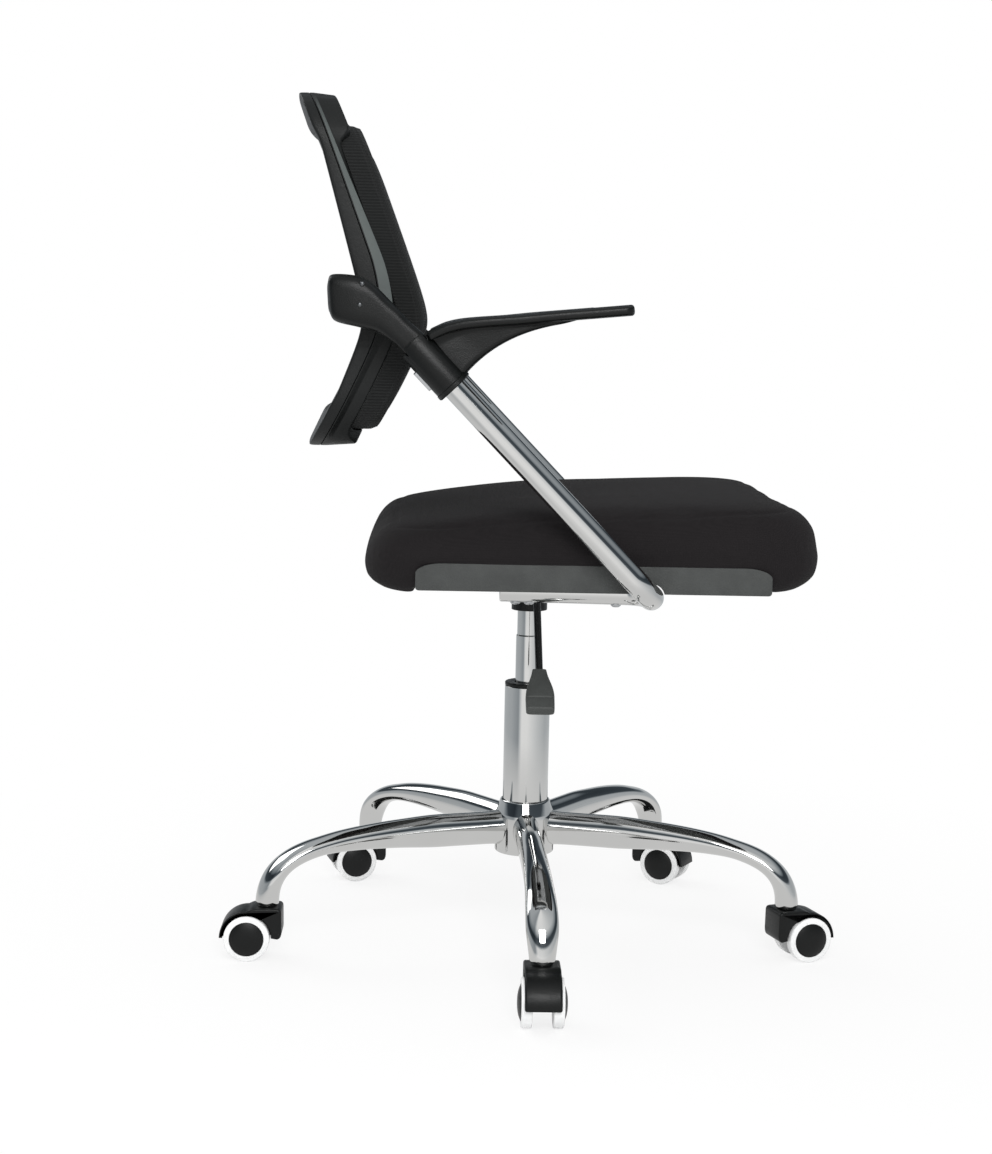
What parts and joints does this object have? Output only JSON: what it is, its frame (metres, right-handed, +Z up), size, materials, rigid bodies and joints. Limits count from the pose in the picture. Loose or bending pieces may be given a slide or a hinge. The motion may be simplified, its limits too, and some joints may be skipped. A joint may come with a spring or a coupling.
{
  "type": "task chair",
  "caption": "Black task chair with a reclining mesh back, slanted chrome tube arms, padded seat, gas lift and a chrome star base on pale twin-wheel casters",
  "frame": {"origin": "on the floor under the middle of the bounding box", "axes": "+X is the way the chair faces, +Y is the sitter's left, +Z is up"},
  "size_m": [0.6757, 0.6379, 0.92],
  "materials": {
    "chrome": "polished chrome plate",
    "steel": "plain bright steel",
    "black_plastic": "fine-grained black moulding",
    "grey_plastic": "fine-grained dark grey moulding",
    "white_nylon": "smooth pale nylon tread",
    "plywood": "raw plywood",
    "seat_fabric": "black woven upholstery",
    "mesh_fabric": "black open net"
  },
  "bodies": {
    "base": {"star_base": "chrome", "column_tube": "chrome", "column_bush": "black_plastic", "thrust_bearing": "steel", "caster_1_stem": "steel", "caster_2_stem": "steel", "caster_3_stem": "steel", "caster_4_stem": "steel", "caster_5_stem": "steel"},
    "rod": {"piston_rod": "steel"},
    "seat": {"gas_cylinder": "chrome", "column_socket": "black_plastic", "mount_plate": "steel", "side_tube_right": "chrome", "side_tube_left": "chrome", "seat_pan": "grey_plastic", "seat_board": "plywood", "seat_cushion": "seat_fabric", "armrest_right": "black_plastic", "armrest_left": "black_plastic", "hinge_pin_right": "steel", "hinge_pin_left": "steel"},
    "back": {"back_lug_right": "black_plastic", "back_lug_left": "black_plastic", "back_cover": "black_plastic", "back_frame": "grey_plastic", "mesh_carrier": "black_plastic", "back_mesh": "mesh_fabric"},
    "lever": {"lever_rod": "steel", "lever_paddle": "black_plastic"},
    "caster_1": {"caster_1_housing": "black_plastic", "caster_1_axle": "steel"},
    "caster_1_roller_a": {"caster_1_wheel_a": "white_nylon", "caster_1_cap_a": "black_plastic"},
    "caster_1_roller_b": {"caster_1_wheel_b": "white_nylon", "caster_1_cap_b": "black_plastic"},
    "caster_2": {"caster_2_housing": "black_plastic", "caster_2_axle": "steel"},
    "caster_2_roller_a": {"caster_2_wheel_a": "white_nylon", "caster_2_cap_a": "black_plastic"},
    "caster_2_roller_b": {"caster_2_wheel_b": "white_nylon", "caster_2_cap_b": "black_plastic"},
    "caster_3": {"caster_3_housing": "black_plastic", "caster_3_axle": "steel"},
    "caster_3_roller_a": {"caster_3_wheel_a": "white_nylon", "caster_3_cap_a": "black_plastic"},
    "caster_3_roller_b": {"caster_3_wheel_b": "white_nylon", "caster_3_cap_b": "black_plastic"},
    "caster_4": {"caster_4_housing": "black_plastic", "caster_4_axle": "steel"},
    "caster_4_roller_a": {"caster_4_wheel_a": "white_nylon", "caster_4_cap_a": "black_plastic"},
    "caster_4_roller_b": {"caster_4_wheel_b": "white_nylon", "caster_4_cap_b": "black_plastic"},
    "caster_5": {"caster_5_housing": "black_plastic", "caster_5_axle": "steel"},
    "caster_5_roller_a": {"caster_5_wheel_a": "white_nylon", "caster_5_cap_a": "black_plastic"},
    "caster_5_roller_b": {"caster_5_wheel_b": "white_nylon", "caster_5_cap_b": "black_plastic"}
  },
  "joints": [
    {"name": "column_swivel", "type": "hinge", "parent": "base", "child": "rod", "pos_m": [-0.004, 0.032, 0.11], "axis": [0, 0, 1], "continuous": true},
    {"name": "column_lift", "type": "slide", "parent": "rod", "child": "seat", "axis": [0, 0, 1], "range_m": [-0.07, 0.025]},
    {"name": "back_recline", "type": "hinge", "parent": "seat", "child": "back", "pos_m": [-0.135, 0.032, 0.672], "axis": [0, -1, 0], "range_deg": [0, 35], "stiffness_Nm_per_rad": 60, "springref_deg": -22.92},
    {"name": "lever_lift", "type": "hinge", "parent": "seat", "child": "lever", "pos_m": [0.001, 0.0005, 0.4151], "axis": [-1, 0, 0], "range_deg": [0, 5], "stiffness_Nm_per_rad": 5, "springref_deg": -5.73},
    {"name": "caster_1_swivel", "type": "hinge", "parent": "base", "child": "caster_1", "pos_m": [0.00385, -0.2679, 0.06], "axis": [0, 0, 1], "continuous": true},
    {"name": "caster_1_roll_a", "type": "hinge", "parent": "caster_1", "child": "caster_1_roller_a", "pos_m": [0.00385, -0.2889, 0.025], "axis": [1, 0, 0], "continuous": true},
    {"name": "caster_1_roll_b", "type": "hinge", "parent": "caster_1", "child": "caster_1_roller_b", "pos_m": [0.00385, -0.2889, 0.025], "axis": [1, 0, 0], "continuous": true},
    {"name": "caster_2_swivel", "type": "hinge", "parent": "base", "child": "caster_2", "pos_m": [0.28365, -0.05321, 0.06], "axis": [0, 0, 1], "continuous": true},
    {"name": "caster_2_roll_a", "type": "hinge", "parent": "caster_2", "child": "caster_2_roller_a", "pos_m": [0.30362, -0.04671, 0.025], "axis": [-0.309, 0.9511, 0], "continuous": true},
    {"name": "caster_2_roll_b", "type": "hinge", "parent": "caster_2", "child": "caster_2_roller_b", "pos_m": [0.30362, -0.04671, 0.025], "axis": [-0.309, 0.9511, 0], "continuous": true},
    {"name": "caster_3_swivel", "type": "hinge", "parent": "base", "child": "caster_3", "pos_m": [0.16592, 0.27924, 0.06], "axis": [0, 0, 1], "continuous": true},
    {"name": "caster_3_roll_a", "type": "hinge", "parent": "caster_3", "child": "caster_3_roller_a", "pos_m": [0.18411, 0.26874, 0.025], "axis": [0.5, 0.866, 0], "continuous": true},
    {"name": "caster_3_roll_b", "type": "hinge", "parent": "caster_3", "child": "caster_3_roller_b", "pos_m": [0.18411, 0.26874, 0.025], "axis": [0.5, 0.866, 0], "continuous": true},
    {"name": "caster_4_swivel", "type": "hinge", "parent": "base", "child": "caster_4", "pos_m": [-0.18663, 0.27001, 0.06], "axis": [0, 0, 1], "continuous": true},
    {"name": "caster_4_roll_a", "type": "hinge", "parent": "caster_4", "child": "caster_4_roller_a", "pos_m": [-0.20691, 0.26457, 0.025], "axis": [0.2588, -0.9659, 0], "continuous": true},
    {"name": "caster_4_roll_b", "type": "hinge", "parent": "caster_4", "child": "caster_4_roller_b", "pos_m": [-0.20691, 0.26457, 0.025], "axis": [0.2588, -0.9659, 0], "continuous": true},
    {"name": "caster_5_swivel", "type": "hinge", "parent": "base", "child": "caster_5", "pos_m": [-0.28679, -0.06814, 0.06], "axis": [0, 0, 1], "continuous": true},
    {"name": "caster_5_roll_a", "type": "hinge", "parent": "caster_5", "child": "caster_5_roller_a", "pos_m": [-0.30779, -0.06814, 0.025], "axis": [0, -1, 0], "continuous": true},
    {"name": "caster_5_roll_b", "type": "hinge", "parent": "caster_5", "child": "caster_5_roller_b", "pos_m": [-0.30779, -0.06814, 0.025], "axis": [0, -1, 0], "continuous": true}
  ]
}
